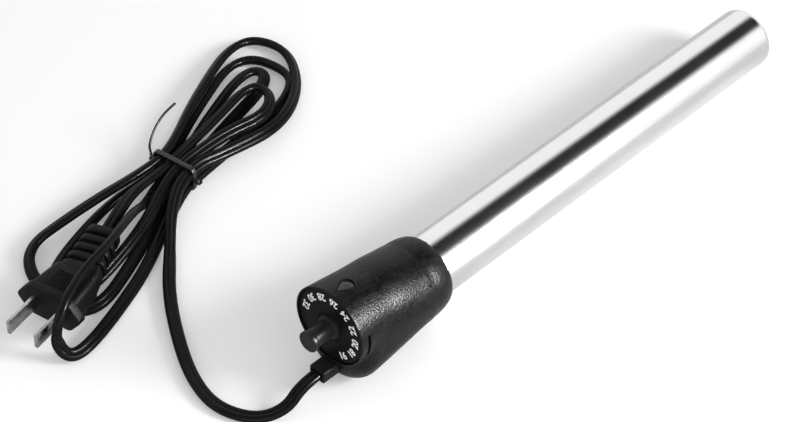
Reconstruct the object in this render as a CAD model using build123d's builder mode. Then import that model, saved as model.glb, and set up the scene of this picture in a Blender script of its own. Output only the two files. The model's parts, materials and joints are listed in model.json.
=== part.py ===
from build123d import *

import os
from math import acos, atan, cos, degrees, dist, pi, radians, sin, sqrt, tan

# Submersible aquarium heater lying on a flat surface beside its hanked cord and plug, in mm.
#
# +X runs from the dial end towards the closed end of the tube, +Z is up, and the origin is on
# the surface, under the middle of the heater without its cord.  The tube rests on its far end
# and on the lobe under the head, so its axis leans a little.  Places on the heater are given by
# a station along that axis, counted from the rim of the dial, a height square to it, and a side.

# ---- driving dimensions: fits ----
running_fit = 0.05
seated_fit = 0.1
seal_fit = 0.02
air_gap = 0.3

# ---- driving dimensions: steel tube ----
tube_r = 12.5
tube_wall = 0.8
tube_end_round = 3.0
tube_length = 204.0
socket_start = 38.0
socket_depth = 13.5
tube_stop = 2.0
tube_end = socket_start + tube_length
tube_bore_r = tube_r - tube_wall
tube_neck_r = tube_r - 0.2
tube_neck_end = socket_start + socket_depth + 0.5

# ---- driving dimensions: head ----
dial_h = 6.5
dial_r = 15.8
dial_thick = 2.0
dial_sink = 0.6
rim_wall = 0.8
recess_r = dial_r + air_gap
recess_depth = dial_sink + dial_thick + air_gap
shoulder_r = 16.3
shoulder_station = 41.0
dome_end_r = tube_r + 0.8
lobe_front = 1.6
lobe_foot = 10.0
lobe_drop = 22.0
lobe_r = 16.3
lobe_round = 8.4
front_wall_end = 8.0
cavity_r = 13.4
# Station, height and radius of the rounds that the upper pod runs through, rim to shoulder.
pod_rounds = [
    (0, dial_h, recess_r + rim_wall),
    (9, 6.0, 16.2),
    (18, 4.8, 15.9),
    (28, 3.0, 16.2),
    (shoulder_station, 0, shoulder_r),
]
# Station, height of the lower round and radius of the ovals under it, front to shoulder.
lobe_ovals = [
    (lobe_front, -5.9, lobe_r),
    (lobe_foot, lobe_r - lobe_drop, lobe_r),
    (24, -2.9, lobe_r + 0.2),
    (shoulder_station, -0.5, shoulder_r - 0.25),
]

# ---- driving dimensions: knob and spindle ----
knob_reach = 11.2
knob_cap_r = 4.3
knob_cap_thick = 1.7
knob_stem_r = 3.7
knob_neck_r = 3.3
knob_neck = 0.4
hub_r = 5.0
hub_thick = 1.2
shank_r = 3.0
spindle_r = 2.0
spindle_start = -4.5
spindle_end = 34.0
thread_lead = 2.0

# ---- driving dimensions: cord, hank and plug ----
cord_r = 2.2
cord_pitch = 4.9
bend_share = 0.45
low = cord_r + 0.05
high = low + 5.2
waist_at = (-83.0, 116.5)
waist_bearing = 8.0
waist_half = 7.0
tie_thick = 0.6
tie_width = 2.2
waist_low = 0.1 + tie_thick + air_gap + cord_r
waist_high = waist_low + 5.2
plug_z = 12.0
plug_bearing = 10.5
relief_bearing = 23.5
relief_length = 24.5
relief_tip = (-129.0, 106.3, plug_z)

# ---- how the heater lies ----
lean = atan((lobe_drop - tube_r) / (tube_end - tube_end_round - lobe_foot))
axis_z = (tube_end - tube_end_round) * sin(lean) + tube_r * cos(lean)
far_x = tube_end * cos(lean) + (tube_r - tube_end_round) * sin(lean)
near_x = -knob_reach * cos(lean) + (dial_h - knob_cap_r) * sin(lean)
axis_x = -(far_x + near_x) / 2

# On the plane across the tube, x is the side and y the height; along it, x is the station.
across = Plane(origin=(axis_x, 0, axis_z), x_dir=(0, 1, 0), z_dir=(cos(lean), 0, -sin(lean)))
along = Plane(origin=(axis_x, 0, axis_z), x_dir=(cos(lean), 0, -sin(lean)), z_dir=(0, -1, 0))
tube_axis = Axis(across.origin, across.z_dir)


def place(station, side, height):
    """The point of the model at a station, side and height of the heater."""
    return across.from_local_coords(Vector(side, height, station))


def rod(start, end, radius, height=0.0, side=0.0, mode=Mode.ADD):
    """A round rod, or hole, along the heater between two stations."""
    with BuildSketch(across.offset(start)) as round_face:
        with Locations((side, height)):
            Circle(radius)
    extrude(round_face.sketch, amount=end - start, mode=mode)


def block(start, end, width, bottom, top, side=0.0, mode=Mode.ADD):
    """A square block, or pocket, along the heater between two stations."""
    with BuildSketch(across.offset(start)) as end_face:
        with Locations((side, (bottom + top) / 2)):
            Rectangle(width, top - bottom)
    extrude(end_face.sketch, amount=end - start, mode=mode)


def ring(station, ring_r, section_r, height=0.0, mode=Mode.ADD):
    """A round ring about the axis that runs along the heater at a height."""
    with BuildSketch(along) as section:
        with Locations((station, height + ring_r)):
            Circle(section_r)
    revolve(section.sketch, axis=Axis(place(0, 0, height), across.z_dir), mode=mode)


def bend_radii(points):
    """Each corner's arc: a share of its shorter run, over the tangent of half the turn."""
    radii = []
    for before, corner, after in zip(points, points[1:], points[2:]):
        arriving = Vector(corner) - Vector(before)
        leaving = Vector(after) - Vector(corner)
        half_turn = radians(arriving.get_angle(leaving)) / 2
        radii.append(bend_share * min(arriving.length, leaving.length) / tan(half_turn))
    return radii


def tube_along(points, radius):
    """A round wire, cord or lead along straight runs joined by tangent arcs."""
    with BuildLine() as route:
        FilletPolyline(*points, radius=bend_radii(points))
    path = route.wires()[0]
    with BuildSketch(Plane(origin=path @ 0, z_dir=path % 0)) as section:
        Circle(radius)
    sweep(section.sketch, path=path)
    return path


def heading(bearing, away=1.0, aside=0.0):
    """A flat vector: so far along a bearing from +X, and so far to its left."""
    return Vector(away, aside, 0).rotate(Axis.Z, bearing)


def report_tube(name, points, line, builder, radius):
    """Prints a tube's length and radii, and its volume against section times length."""
    radii = ", ".join(f"{bend:.1f}" for bend in bend_radii(points))
    print(f"{name}: length {line.length:.1f}, radii {radii}")
    print(f"{name}: volume {builder.part.volume:.1f} of {pi * radius**2 * line.length:.1f}")


def least_self_gap(line, radius, step=1.2):
    """The least gap between a tube's own stretches, measured on points along its middle."""
    count = int(line.length / step)
    points = [tuple(line.position_at(index / count)) for index in range(count + 1)]
    skip = int(5 * radius / step)
    nearest = min(
        dist(point, other)
        for index, point in enumerate(points)
        for other in points[index + skip :]
    )
    return nearest - 2 * radius


def finish(builder, name):
    """Labels a sub-part and writes its STEP file."""
    builder.part.label = name
    export_step(builder.part, f"parts/{name}.step")


os.makedirs("parts", exist_ok=True)

# ---- tube: stainless steel, open at the head and closed at the far end ----
with BuildPart() as tube:
    rod(socket_start, tube_end, tube_r)
    fillet(edges().sort_by(tube_axis)[-1], tube_end_round)
    with BuildPart(mode=Mode.SUBTRACT):
        rod(socket_start, tube_end - tube_wall, tube_bore_r)
        fillet(edges().sort_by(tube_axis)[-1], tube_end_round - tube_wall)
    with BuildSketch(across.offset(socket_start)) as neck_waste:
        Circle(2 * tube_r)
        Circle(tube_neck_r, mode=Mode.SUBTRACT)
    extrude(neck_waste.sketch, amount=tube_neck_end - socket_start, mode=Mode.SUBTRACT)
finish(tube, "tube")

# ---- sizes that the head shares with the pieces inside it ----
bush_r = 4.0
bush_start = recess_depth + air_gap
bush_flange_r = 5.0
bush_end = front_wall_end + 1.2

tube_seal_r = 0.62
tube_seal_inset = 4.0
tube_seal_ring_r = tube_neck_r + seal_fit + tube_seal_r
tube_groove_r = tube_seal_ring_r + tube_seal_r + seal_fit
tube_seal_stations = [socket_start + tube_seal_inset, socket_start + 2 * tube_seal_inset]

channel_h = -14.1
channel_r = 4.2
channel_end = 22.0
boot_width = 7.6
boot_tall = 5.6
boot_corner = 1.2
boot_front = -5.8
boot_back = 6.0
gland_flange = 1.5

lamp_h = 14.2
lamp_r = 2.7
lamp_pocket_r = lamp_r + air_gap
lamp_pocket_start = 7.0
lamp_pocket_end = 27.0
light_hole_r = 1.5

lens_r = 2.7
lens_tip = 3.4
lens_centre = 8.3
lens_thick = 1.5
lens_sink = 0.4

slot_station = 3.6
slot_width = 1.0
slot_floor_r = 15.4
slot_outer_r = 18.0
slot_from = 75
slot_to = 112

# The window follows the pod's top line, which drops from the rim towards the tube.
rim_top = pod_rounds[0][1] + pod_rounds[0][2]
next_station, next_h, next_r = pod_rounds[1]
top_drop = atan((rim_top - next_h - next_r) / next_station)
window = Plane(
    origin=place(lens_centre, 0, rim_top - lens_centre * tan(top_drop)),
    x_dir=(cos(lean + top_drop), 0, -sin(lean + top_drop)),
    z_dir=(sin(lean + top_drop), 0, cos(lean + top_drop)),
)


def teardrop(radius, depth, thick, mode=Mode.ADD):
    """The indicator's outline, pointed towards the dial, from a depth below the top line."""
    reach = (lens_centre - lens_tip) * radius / lens_r
    touch = degrees(acos(radius / reach))
    with BuildSketch(window.offset(-depth)) as outline:
        with BuildLine():
            round_end = CenterArc((0, 0), radius, touch - 180, 360 - 2 * touch)
            Polyline(round_end @ 1, (-reach, 0), round_end @ 0)
        make_face()
    extrude(outline.sketch, amount=thick, mode=mode)


# ---- head shell: pod behind the dial, lobe round the cord entry, and the tube's socket ----
with BuildPart() as head_shell:
    for station, bottom, radius in lobe_ovals:
        with BuildSketch(across.offset(station)):
            with Locations((0, bottom / 2)):
                SlotCenterToCenter(-bottom, 2 * radius, rotation=90)
    loft()
    fillet(faces().sort_by(tube_axis)[0].edges(), lobe_round)
    for station, height, radius in pod_rounds:
        with BuildSketch(across.offset(station)):
            with Locations((0, height)):
                Circle(radius)
    loft()
    dome_length = socket_start + socket_depth - shoulder_station
    with BuildSketch(along):
        with BuildLine():
            shoulder = EllipticalCenterArc(
                (shoulder_station, dome_end_r),
                dome_length,
                shoulder_r - dome_end_r,
                start_angle=0,
                arc_size=90,
            )
            Polyline(
                shoulder @ 0,
                (shoulder_station + dome_length, 0),
                (shoulder_station, 0),
                shoulder @ 1,
            )
        make_face()
    revolve(axis=tube_axis)

    rod(0, recess_depth, recess_r, dial_h, mode=Mode.SUBTRACT)
    rod(recess_depth, front_wall_end, bush_r + seated_fit, dial_h, mode=Mode.SUBTRACT)
    rod(front_wall_end, socket_start - tube_stop, cavity_r, mode=Mode.SUBTRACT)
    rod(socket_start - tube_stop, socket_start, tube_bore_r, mode=Mode.SUBTRACT)
    rod(socket_start, socket_start + socket_depth, tube_neck_r + seated_fit, mode=Mode.SUBTRACT)
    for station in tube_seal_stations:
        groove_half = tube_seal_r + seal_fit
        rod(station - groove_half, station + groove_half, tube_groove_r, mode=Mode.SUBTRACT)

    rod(lamp_pocket_start, lamp_pocket_end, lamp_pocket_r, lamp_h, mode=Mode.SUBTRACT)
    teardrop(lens_r + seated_fit, lens_sink + lens_thick, 4 * lens_thick, Mode.SUBTRACT)
    with BuildSketch(window.offset(-lens_sink - lens_thick)) as light_hole:
        Circle(light_hole_r)
    extrude(light_hole.sketch, amount=lamp_h - rim_top, mode=Mode.SUBTRACT)

    rod(boot_back, channel_end, channel_r, channel_h, mode=Mode.SUBTRACT)
    with BuildSketch(across) as boot_hole:
        with Locations((0, channel_h)):
            RectangleRounded(
                boot_width + 2 * seated_fit, boot_tall + 2 * seated_fit, boot_corner + seated_fit
            )
    extrude(boot_hole.sketch, amount=boot_back, mode=Mode.SUBTRACT)

    with BuildSketch(across.offset(slot_station)) as slots:
        for turn in (90 - slot_to, 90 + slot_from):
            with BuildLine():
                inner = CenterArc((0, dial_h), slot_floor_r, turn, slot_to - slot_from)
                outer = CenterArc((0, dial_h), slot_outer_r, turn, slot_to - slot_from)
                Line(inner @ 0, outer @ 0)
                Line(inner @ 1, outer @ 1)
            make_face()
    extrude(slots.sketch, amount=slot_width, mode=Mode.SUBTRACT)
finish(head_shell, "head_shell")

# ---- tube_seals: two rubber rings between the tube and its socket ----
with BuildPart() as tube_seals:
    for station in tube_seal_stations:
        ring(station, tube_seal_ring_r, tube_seal_r)
finish(tube_seals, "tube_seals")

# ---- indicator_lens: clear drop-shaped window over the lamp ----
with BuildPart() as indicator_lens:
    teardrop(lens_r, lens_sink + lens_thick, lens_thick)
finish(indicator_lens, "indicator_lens")

# ---- dial: disc, knob, spindle and its clip, turning together ----
dial_back = dial_sink + dial_thick
with BuildPart() as dial_disc:
    rod(dial_sink, dial_back, dial_r, dial_h)
    fillet(edges().filter_by(GeomType.CIRCLE).group_by(tube_axis)[0], 0.3)
    rod(dial_sink, dial_back, shank_r + running_fit, dial_h, mode=Mode.SUBTRACT)
finish(dial_disc, "dial_disc")

with BuildPart() as knob:
    cap_back = knob_cap_thick - knob_reach
    with BuildSketch(along):
        with BuildLine():
            Polyline(
                (-knob_reach, dial_h),
                (-knob_reach, dial_h + knob_cap_r),
                (cap_back, dial_h + knob_cap_r),
                (cap_back, dial_h + knob_neck_r),
                (cap_back + knob_neck, dial_h + knob_neck_r),
                (cap_back + knob_neck, dial_h + knob_stem_r),
                (dial_sink - hub_thick, dial_h + knob_stem_r),
                (dial_sink - hub_thick, dial_h + hub_r),
                (dial_sink, dial_h + hub_r),
                (dial_sink, dial_h + shank_r),
                (dial_back, dial_h + shank_r),
                (dial_back, dial_h),
                close=True,
            )
        make_face()
    revolve(axis=Axis(place(0, 0, dial_h), across.z_dir))
    fillet(edges().group_by(tube_axis)[0], 0.4)
    rod(spindle_start - seated_fit, dial_back, spindle_r, dial_h, mode=Mode.SUBTRACT)
finish(knob, "knob")

clip_thick = 0.6
clip_groove_r = 1.7
clip_r = 3.6
clip_start = bush_end + air_gap
with BuildPart() as spindle:
    rod(spindle_start, spindle_end, spindle_r, dial_h)
    with BuildSketch(across.offset(clip_start)) as groove:
        with Locations((0, dial_h)):
            Circle(spindle_r + seated_fit)
            Circle(clip_groove_r, mode=Mode.SUBTRACT)
    extrude(groove.sketch, amount=clip_thick, mode=Mode.SUBTRACT)
    chamfer(edges().filter_by(GeomType.CIRCLE).sort_by(tube_axis)[-1], 0.5)
finish(spindle, "spindle")

with BuildPart() as spindle_clip:
    rod(clip_start, clip_start + clip_thick, clip_r, dial_h)
    rod(clip_start, clip_start + clip_thick, clip_groove_r, dial_h, mode=Mode.SUBTRACT)
    block(
        clip_start,
        clip_start + clip_thick,
        2 * clip_groove_r * 0.9,
        dial_h - clip_r,
        dial_h,
        mode=Mode.SUBTRACT,
    )
finish(spindle_clip, "spindle_clip")

# ---- spindle_bush: flanged bearing in the front wall, with a seal in its groove ----
bush_seal_r = 0.48
bush_seal_ring_r = spindle_r + seal_fit + bush_seal_r
bush_seal_station = (bush_start + front_wall_end) / 2
with BuildPart() as spindle_bush:
    rod(bush_start, bush_end, bush_r, dial_h)
    rod(front_wall_end, bush_end, bush_flange_r, dial_h)
    rod(bush_start, bush_end, spindle_r + running_fit, dial_h, mode=Mode.SUBTRACT)
    rod(
        bush_seal_station - bush_seal_r - seal_fit,
        bush_seal_station + bush_seal_r + seal_fit,
        bush_seal_ring_r + bush_seal_r + seal_fit,
        dial_h,
        mode=Mode.SUBTRACT,
    )
finish(spindle_bush, "spindle_bush")

with BuildPart() as spindle_seal:
    ring(bush_seal_station, bush_seal_ring_r, bush_seal_r, dial_h)
finish(spindle_seal, "spindle_seal")

# ---- adjust_plunger: rides on the spindle's thread between the board's cheeks ----
plunger_width = 8.0
plunger_long = 6.0
plunger_bottom = 3.0
plunger_top = 10.0
plunger_start = 27.0
plunger_end = plunger_start + plunger_long
nose_r = 1.0
nose_h = 4.0
nose_end = 38.6
with BuildPart() as adjust_plunger:
    block(plunger_start, plunger_end, plunger_width, plunger_bottom, plunger_top)
    fillet(edges().filter_by(tube_axis).group_by(Axis.Z)[-1], 1.0)
    rod(plunger_end - 1, nose_end, nose_r, nose_h)
    rod(plunger_start, nose_end, spindle_r + running_fit, dial_h, mode=Mode.SUBTRACT)
finish(adjust_plunger, "adjust_plunger")

# ---- thermostat board and what stands on it ----
board_top = -1.0
board_thick = 3.0
board_bottom = board_top - board_thick
board_edge_gap = 0.2
board_half = sqrt(tube_bore_r**2 - board_bottom**2) - board_edge_gap
board_start = 22.0
board_end = 86.0
tongue_half = 8.0
cheek_thick = 1.5
cheek_top = 8.0
cheek_start = plunger_start - 3.0
cheek_end = plunger_end + 3.0
with BuildPart() as thermostat_board:
    block(board_start, board_end, 2 * tongue_half, board_bottom, board_top)
    block(socket_start + 1, board_end, 2 * board_half, board_bottom, board_top)
    for side in (-1, 1):
        cheek_side = side * (plunger_width / 2 + seated_fit + cheek_thick / 2)
        block(cheek_start, cheek_end, cheek_thick, board_top, cheek_top, cheek_side)
finish(thermostat_board, "thermostat_board")

strip_h = 2.0
strip_thick = 0.5
strip_width = 5.0
strip_start = 41.0
strip_end = 74.0
pivot_station = 71.5
strip_bottom = strip_h - strip_thick / 2
with BuildPart() as bimetal_strip:
    block(strip_start, strip_end, strip_width, strip_bottom, strip_bottom + strip_thick)
finish(bimetal_strip, "bimetal_strip")

with BuildPart() as strip_post:
    block(
        pivot_station - 1.5,
        pivot_station + 5.5,
        strip_width + 1,
        board_top,
        strip_bottom - air_gap,
    )
    block(
        strip_end + air_gap,
        pivot_station + 5.5,
        strip_width + 1,
        board_top,
        strip_h + strip_thick,
    )
finish(strip_post, "strip_post")

contact_r = 1.6
contact_thick = 0.9
contact_station = strip_start + 2.2
contact_lift = 0.1
with BuildPart() as moving_contact:
    with BuildSketch(Plane(place(contact_station, 0, strip_bottom), z_dir=-along.y_dir)):
        Circle(contact_r)
    extrude(amount=contact_thick)
finish(moving_contact, "moving_contact")

with BuildPart() as fixed_contact:
    with BuildSketch(Plane(place(contact_station, 0, board_top), z_dir=along.y_dir)):
        Circle(contact_r)
    extrude(amount=strip_bottom - contact_thick - contact_lift - board_top)
finish(fixed_contact, "fixed_contact")

magnet_station = 49.0
with BuildPart() as magnet:
    block(magnet_station - 2, magnet_station + 2, 5.0, board_top, strip_bottom - 0.8)
finish(magnet, "magnet")

fuse_r = 1.8
fuse_edge_gap = 3.8
fuse_side = board_half - fuse_edge_gap
with BuildPart() as thermal_fuse:
    rod(50, 60, fuse_r, board_top + fuse_r, fuse_side)
finish(thermal_fuse, "thermal_fuse")

# ---- heater element: core, winding, sleeve, spacers and the wires that feed it ----
sleeve_gap = 0.2
sleeve_thick = 0.9
wire_room = 1.7
winding_thick = 0.9
sleeve_r = tube_bore_r - sleeve_gap
sleeve_bore_r = sleeve_r - sleeve_thick
winding_r = sleeve_bore_r - wire_room
core_r = winding_r - winding_thick
core_bore_r = 1.2
spacer_thick = 4.0
element_start = 92.0
element_end = 232.0
core_start = element_start + spacer_thick
core_end = element_end - spacer_thick
winding_inset = 4.0
wire_r = 0.6
wire_side = (winding_r + sleeve_bore_r) / 2
with BuildPart() as heater_core:
    rod(core_start, core_end, core_r)
    rod(core_start, core_end, core_bore_r, mode=Mode.SUBTRACT)
finish(heater_core, "heater_core")

with BuildPart() as heater_winding:
    rod(core_start + winding_inset, core_end - winding_inset, winding_r)
    rod(core_start + winding_inset, core_end - winding_inset, core_r, mode=Mode.SUBTRACT)
finish(heater_winding, "heater_winding")

with BuildPart() as insulating_sleeve:
    rod(element_start, element_end, sleeve_r)
    rod(element_start, element_end, sleeve_bore_r, mode=Mode.SUBTRACT)
finish(insulating_sleeve, "insulating_sleeve")

with BuildPart() as core_spacers:
    for start in (element_start, core_end):
        rod(start, start + spacer_thick, sleeve_bore_r - seated_fit)
        rod(start, start + spacer_thick, core_bore_r, mode=Mode.SUBTRACT)
        for side in (-wire_side, wire_side):
            rod(start, start + spacer_thick, wire_r + seated_fit, side=side, mode=Mode.SUBTRACT)
finish(core_spacers, "core_spacers")

terminal_long = 6.0
terminal_width = 1.6
with BuildPart() as terminals:
    for side in (-wire_side, wire_side):
        block(
            board_end - terminal_long,
            board_end,
            terminal_width,
            board_top,
            -wire_r - running_fit,
            side,
        )
finish(terminals, "terminals")

with BuildPart() as element_wires:
    for side, end in ((-wire_side, core_start + 8), (wire_side, core_end - 8)):
        rod(board_end - terminal_long, end, wire_r, side=side)
finish(element_wires, "element_wires")

# ---- neon lamp, its resistor and the lead down to the cheek ----
lamp_start = bush_end + 0.4
lamp_end = lamp_start + 8.0
pin_r = 0.4
pin_long = 1.4
with BuildPart() as neon_lamp:
    rod(lamp_start, lamp_end, lamp_r, lamp_h)
    fillet(edges().sort_by(tube_axis)[0], lamp_r * 0.6)
    rod(lamp_end, lamp_end + pin_long, pin_r, lamp_h)
finish(neon_lamp, "neon_lamp")

resistor_r = 1.1
resistor_start = lamp_end + pin_long
resistor_end = resistor_start + 6.0
lead_stub = 1.2
lead_bend = 2.8
lead_out = 4.5
cheek_middle = plunger_width / 2 + seated_fit + cheek_thick / 2
with BuildPart() as lamp_resistor:
    rod(resistor_start, resistor_end, resistor_r, lamp_h)
    tube_along(
        [
            place(resistor_end, 0, lamp_h),
            place(resistor_end + lead_stub, 0, lamp_h),
            place(resistor_end + lead_bend, cheek_middle / 2, cavity_r - 1.9),
            place(resistor_end + lead_out, cheek_middle, cheek_top + 2.5),
            place(resistor_end + lead_out, cheek_middle, cheek_top),
        ],
        pin_r,
    )
finish(lamp_resistor, "lamp_resistor")

# ---- cord entry: gland, potting, inner sheath and the two mains conductors ----
with BuildPart() as cord_gland:
    with BuildSketch(across.offset(boot_front)):
        with Locations((0, channel_h)):
            RectangleRounded(boot_width, boot_tall, boot_corner)
    extrude(amount=boot_back - boot_front)
    chamfer(faces().sort_by(tube_axis)[0].edges(), 0.5)
    rod(boot_back, boot_back + gland_flange, channel_r - seated_fit, channel_h)
finish(cord_gland, "cord_gland")

sheath_r = 1.9
sheath_end = 16.0
potting_start = boot_back + gland_flange
potting_end = potting_start + 6.0
with BuildPart() as cord_tail:
    rod(potting_start, sheath_end, sheath_r, channel_h)
finish(cord_tail, "cord_tail")

with BuildPart() as potting:
    rod(potting_start, potting_end, channel_r - running_fit, channel_h)
    rod(potting_start, potting_end, sheath_r, channel_h, mode=Mode.SUBTRACT)
finish(potting, "potting")

conductor_r = 0.85
conductor_side = 3.0
core_side = 0.95
conductor_stub = 2.5
conductor_spread = 7.5
conductor_rise = 14.0
conductor_meet = 22.0
conductor_long = 30.0
with BuildPart() as conductors:
    for side in (-1, 1):
        under_board = board_bottom - conductor_r
        spread = side * (core_side + conductor_side) / 2
        tube_along(
            [
                place(sheath_end, side * core_side, channel_h),
                place(sheath_end + conductor_stub, side * core_side, channel_h),
                place(sheath_end + conductor_spread, spread, channel_h + 4 * conductor_r),
                place(sheath_end + conductor_rise, side * conductor_side, board_bottom - 3.2),
                place(sheath_end + conductor_meet, side * conductor_side, under_board),
                place(sheath_end + conductor_long, side * (conductor_side + 0.4), under_board),
            ],
            conductor_r,
        )
finish(conductors, "conductors")

# ---- the cord's route: from the gland round to the hank, and on through its loops ----
entry = place(boot_front, 0, channel_h)
lead_straight = 8.0
lead_points = [
    entry,
    entry - across.z_dir * lead_straight,
    (-138.5, 0.8, 4.0),
    (-149, 6, low),
    (-155.5, 19, low),
    (-153, 34, low),
    (-144, 50, low),
    (-128, 71, low),
]
approach = [(-112, 85, low + 1.25), (-102, 96.5, low + 5.15)]
mouth_run = 12.5
hank_mouth = Vector(*lead_points[-1])
hank_mouth += (Vector(*approach[0]) - hank_mouth).normalized() * mouth_run


def waist_point(end, column, height):
    """A strand's place at one end of the waist, by its column across the bundle."""
    offset = heading(waist_bearing, waist_half * end, (1.5 - column) * cord_pitch)
    return Vector(*waist_at, height) + offset


def loop_point(bearing, away, aside, height):
    """A loop's corner, by its distance from the waist along and beside a bearing."""
    return Vector(*waist_at, height) + heading(bearing, away, aside)


# Each pass through the waist has a column and a layer; a loop leads on from it to the next.
passes = [
    (3, waist_high),
    (0, waist_high),
    (2, waist_low),
    (1, waist_low),
    (3, waist_low),
    (0, waist_low),
    (2, waist_high),
    (1, waist_high),
]
loops = [
    [
        loop_point(15.2, *corner)
        for corner in [
            (21, -12.2, high),
            (42, -20.0, low + 3.25),
            (79, -17.5, low),
            (83, 20.5, low),
            (38, 17.2, high - 0.45),
        ]
    ],
    [
        loop_point(190, *corner)
        for corner in [(32, -16.4, high - 0.95), (82, -20.5, low), (84, 20.5, low), (35, 12.2, low)]
    ],
    [
        loop_point(15.8, *corner)
        for corner in [(30, -3.2, low), (67, -6.0, low), (67, 6.4, low), (30, 5.2, low)]
    ],
    [
        (-104, 111.75, low + 2.15),
        (-114, 106.2, 14.1),
        (-138.6, 94.2, 21.0),
        (-154, 90.8, 21.8),
        (-168, 86.2, 22.9),
        (-175.8, 82.3, 17.4),
        (-177.8, 79.8, 8),
        (-176.3, 73.4, low),
        (-166.5, 72, low),
        (-148, 76.6, low),
        (-124, 85.7, low),
    ],
    [
        loop_point(16.3, *corner)
        for corner in [(36, -14, low), (73, -13, low), (73, 13.5, low), (33, 11, low)]
    ],
    [
        loop_point(188.7, *corner)
        for corner in [(30, -6.5, low), (75, -12, low), (75, 11, low), (37, 11.7, high - 0.25)]
    ],
    [
        loop_point(7, *corner)
        for corner in [
            (28, -4.2, high + 0.55),
            (54.5, -5.5, high + 0.55),
            (54.5, 5.5, high + 0.55),
            (28, 3.5, high + 0.55),
        ]
    ],
]

relief_run = 11.5
hank_points = [hank_mouth, *approach]
for turn, (column, height) in enumerate(passes):
    ends = (-1, 1) if turn % 2 == 0 else (1, -1)
    hank_points += [waist_point(end, column, height) for end in ends]
    if turn < len(loops):
        hank_points += loops[turn]
hank_points += [
    (-106, 115.8, 10.9),
    Vector(*relief_tip) + heading(relief_bearing, relief_run),
    relief_tip,
]

# ---- cord_lead and cord_hank: the free stretch, then the tied hank as one unbroken tube ----
with BuildPart() as cord_lead:
    lead_line = tube_along([*lead_points, hank_mouth], cord_r)
finish(cord_lead, "cord_lead")
report_tube("cord_lead", [*lead_points, hank_mouth], lead_line, cord_lead, cord_r)

with BuildPart() as cord_hank:
    hank_line = tube_along(hank_points, cord_r)
finish(cord_hank, "cord_hank")
report_tube("cord_hank", hank_points, hank_line, cord_hank, cord_r)
print(f"cord_hank: least gap to itself {least_self_gap(hank_line, cord_r):.2f}")

# ---- twist_tie: flat band round the waist, with its twisted end standing up beside it ----
band_inner = 3 * cord_pitch + 2 * (cord_r + air_gap)
band_tall = waist_high - waist_low + 2 * (cord_r + air_gap)
band_corner = cord_r + air_gap
band_side = band_inner / 2 + tie_thick / 2
tail_r = 0.6
knot_r = 1.5
knot_z = 6.0
waist_middle = Vector(*waist_at, (waist_low + waist_high) / 2)
with BuildPart() as twist_tie:
    with BuildSketch(
        Plane(
            origin=waist_middle - heading(waist_bearing, tie_width / 2),
            x_dir=heading(waist_bearing, 0, 1),
            z_dir=heading(waist_bearing),
        )
    ):
        RectangleRounded(
            band_inner + 2 * tie_thick, band_tall + 2 * tie_thick, band_corner + tie_thick
        )
        RectangleRounded(band_inner, band_tall, band_corner, mode=Mode.SUBTRACT)
    extrude(amount=tie_width)
    for side in (-1, 1):
        knot = Vector(*waist_at, knot_z) + heading(waist_bearing, 0, side * (band_side + knot_r))
        with Locations(knot):
            Sphere(knot_r)
        tube_along(
            [
                Vector(*waist_at, knot_z) + heading(waist_bearing, 0, side * band_side),
                knot,
                knot + heading(waist_bearing, 0.4, side * knot_r),
            ],
            tail_r,
        )
    tail_start = Vector(*waist_at, knot_z) + heading(waist_bearing, 0, band_side + knot_r)
    tube_along(
        [
            tail_start,
            (-83.2, 131.2, 7.4),
            (-80, 133.4, 9.3),
            (-75.5, 135.2, 11.8),
            (-69.5, 136, 15),
            (-65, 134.4, 17.8),
        ],
        tail_r,
    )
finish(twist_tie, "twist_tie")

# ---- plug: moulded body with a pointed flange, two flat blades and a ribbed strain relief ----
flange_half_width = 15.0
flange_half_flat = 9.5
flange_half_tall = 7.25
flange_thick = 4.0
grip_long = 13.9
grip_front = (22.0, 12.5)
grip_back = (19.0, 11.5)
collar = (17.6, 10.6)
collar_thick = 1.0
rib_count = 8
rib_pitch = 1.1
rib_thick = 0.5
rib_width = 10.0
rib_rise = 0.35
blade_out = 16.0
blade_in = 6.0
blade_tall = 6.4
blade_thick = 1.5
blade_side = 6.35

body_end = Vector(*relief_tip) - heading(relief_bearing, relief_length)
plug_length = flange_thick + grip_long + collar_thick
plug_face = Plane(
    origin=body_end - heading(plug_bearing, plug_length),
    x_dir=heading(plug_bearing, 0, 1),
    z_dir=heading(plug_bearing),
)


def blades(start, end, clearance, mode=Mode.ADD):
    """Both blades, or their slots, between two distances behind the flange's face."""
    with BuildSketch(plug_face.offset(start)) as pair:
        with Locations((-blade_side, 0), (blade_side, 0)):
            Rectangle(blade_thick + 2 * clearance, blade_tall + 2 * clearance)
    extrude(pair.sketch, amount=end - start, mode=mode)


with BuildPart() as plug_body:
    with BuildSketch(plug_face):
        with BuildLine():
            Polyline(
                (flange_half_width, 0),
                (flange_half_flat, flange_half_tall),
                (-flange_half_flat, flange_half_tall),
                (-flange_half_width, 0),
                (-flange_half_flat, -flange_half_tall),
                (flange_half_flat, -flange_half_tall),
                close=True,
            )
        make_face()
        fillet(vertices(), 1.5)
    extrude(amount=flange_thick)
    fillet(faces().sort_by(Axis(plug_face.origin, plug_face.z_dir))[0].edges(), 0.6)
    with BuildSketch(plug_face.offset(flange_thick)):
        RectangleRounded(*grip_front, 3.0)
    with BuildSketch(plug_face.offset(flange_thick + grip_long)):
        RectangleRounded(*grip_back, 3.0)
    loft()
    with BuildSketch(plug_face.offset(flange_thick + grip_long)):
        RectangleRounded(*collar, 3.0)
    extrude(amount=collar_thick)
    for rib in range(rib_count):
        share = (rib + 2) * rib_pitch / grip_long
        rib_tall = grip_front[1] + (grip_back[1] - grip_front[1]) * share + 2 * rib_rise
        with BuildSketch(plug_face.offset(flange_thick + (rib + 2) * rib_pitch)):
            Rectangle(rib_width, rib_tall)
        extrude(amount=rib_thick)
    blades(0, blade_in, running_fit, Mode.SUBTRACT)
finish(plug_body, "plug_body")

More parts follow.
